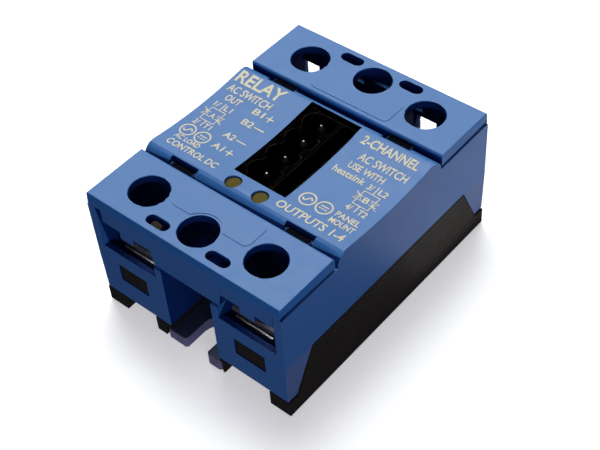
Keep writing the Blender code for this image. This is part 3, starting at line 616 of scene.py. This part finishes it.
def switch_symbol(bm, x, y, letter):
    """Two opposed thyristors beside a box with the channel's letter."""
    right, top, low = x + BOX_HALF_X, y + BOX_HALF_Y, y - BOX_HALF_Y
    left = x - BOX_HALF_X
    stroke(bm, [(left, low), (right, low), (right, top), (left, top)], 0.18, closed=True)
    text(bm, letter, x - 0.6, x + 0.6, y - 0.65, 1.3)
    half_tall, half_base, gate_x, gate_y = 0.55, 0.8, 1.2, 0.6
    for side in (-1, 1):
        middle = x + side * BOX_HALF_X
        tip, base = y - side * half_tall, y + side * half_tall
        stroke(bm, [(middle - half_base, base), (middle + half_base, base), (middle, tip)], HAIR, closed=True)
        stroke(bm, [(middle - half_base, tip), (middle + half_base, tip)], THIN)
        stroke(bm, [(middle, tip), (middle + side * gate_x, tip - side * gate_y)], THIN)


def switch_diagram(bm, x, y, letter, top, bottom):
    """Switch symbol with a lead up to top and one down to bottom."""
    stroke(bm, [(x, top), (x, y + BOX_HALF_Y)])
    switch_symbol(bm, x, y, letter)
    stroke(bm, [(x, y - BOX_HALF_Y), (x, bottom)])


def ring_mark(bm, x, y):
    turns = [2 * math.pi * i / RING_STEPS for i in range(RING_STEPS)]
    ring = [(x + RING_RADIUS * math.cos(turn), y + RING_RADIUS * math.sin(turn)) for turn in turns]
    stroke(bm, ring, 0.3, closed=True)


def ac_mark(bm, x, y):
    """Sine wave in a ring, for AC."""
    ring_mark(bm, x, y)
    steps = 6
    phases = [i / steps - 1 for i in range(2 * steps + 1)]
    stroke(bm, [(x + 0.95 * phase, y + 0.5 * math.sin(math.pi * phase)) for phase in phases], 0.28)


def dc_mark(bm, x, y):
    """Long line over three dashes in a ring, for DC."""
    ring_mark(bm, x, y)
    half, dash, pitch = 0.85, 0.42, 0.64
    stroke(bm, [(x - half, y + 0.3), (x + half, y + 0.3)], MARK)
    for i in range(3):
        start = x - half + pitch * i
        stroke(bm, [(start, y - 0.35), (start + dash, y - 0.35)], MARK)


def pin_label(bm, name, sign, left, y):
    """Pin name, then a drawn plus or minus sign."""
    text(bm, name, left, left + 2.5, y, 1.5)
    x, middle = left + 4.0, y + 0.65
    half = 0.85 if sign == "+" else 1.15
    stroke(bm, [(x - half, middle), (x + half, middle)], MARK)
    if sign == "+":
        for low, high in ((-half, -MARK / 2), (MARK / 2, half)):
            stroke(bm, [(x, middle + low), (x, middle + high)], MARK)


def label_piece(name, bm):
    """Lay the flat print on the dished face of the centre block and make it a piece."""
    for vert in bm.verts:
        vert.co.z += LABEL_LOW + (LABEL_TOP - LABEL_LOW) * (vert.co.y / LABEL_CREST_Y) ** 2 + INK_LIFT
    bmesh.ops.scale(bm, verts=bm.verts, vec=(MM, MM, MM))
    add_piece(name, bm, "print", "relay")


# Words, their left and right ends, their baseline and the height of their capitals, in mm, and any extra weight
LEFT_WORDS = (
    ("RELAY", -21.6, -10.4, 9.1, 2.9, BOLDEST), ("AC SWITCH", -21.2, -10.9, 6.4, 1.8), ("OUT", -19.8, -16.2, 4.1, 1.6),
    ("1/", -20.4, -19.2, 1.8, 1.3), ("L1", -17.9, -16.2, 1.8, 1.3),
    ("2/", -20.4, -19.2, -4.0, 1.3), ("T1", -17.9, -16.2, -4.0, 1.3),
    ("AC LOAD", -20.2, -14.3, -8.95, 1.15), ("CONTROL DC", -20.2, -8.2, -11.1, 1.5),
)
RIGHT_WORDS = (
    ("2-CHANNEL", 8.2, 20.6, 9.5, 2.0, BOLD), ("AC SWITCH", 10.2, 20.6, 6.1, 1.8), ("USE WITH", 9.8, 17.5, 3.7, 1.5),
    ("heatsink", 8.1, 15.0, 1.55, 1.5),
    ("3/", 15.9, 17.1, 1.4, 1.3), ("L2", 18.3, 20.1, 1.4, 1.3),
    ("4/", 15.7, 16.9, -4.5, 1.3), ("T2", 18.3, 20.1, -4.5, 1.3),
    ("PANEL", 15.6, 20.6, -7.0, 1.3), ("MOUNT", 15.6, 20.8, -8.8, 1.3), ("OUTPUTS 1-4", 6.1, 20.6, -11.5, 1.85),
)
# Pin names, their signs, left ends and baselines
PIN_NAMES = (("B1", "+", -13.0, 4.2), ("B2", "-", -12.9, 1.0), ("A2", "-", -13.3, -3.5), ("A1", "+", -13.0, -6.9))


def print_left():
    bm = bmesh.new()
    for row in LEFT_WORDS:
        text(bm, *row)
    for row in PIN_NAMES:
        pin_label(bm, *row)
    switch_diagram(bm, -18.35, -0.5, "A", top=3.3, bottom=-4.0)
    ac_mark(bm, -19.3, -6.1)
    dc_mark(bm, -15.7, -6.1)
    label_piece("print_left", bm)


def print_right():
    bm = bmesh.new()
    for row in RIGHT_WORDS:
        text(bm, *row)
    switch_diagram(bm, 17.75, -0.95, "B", top=2.9, bottom=-4.4)
    ac_mark(bm, 9.6, -6.7)
    dc_mark(bm, 13.2, -6.7)
    label_piece("print_right", bm)


make_camera()
make_world()
make_lights()
make_floor()
make_backdrop()
MATERIALS = make_materials()
dress_nodes()
for NODE, WIDTH in ROUNDED.items():
    rounded_piece(NODE, WIDTH)
darken_hinge_arms()
print_left()
print_right()
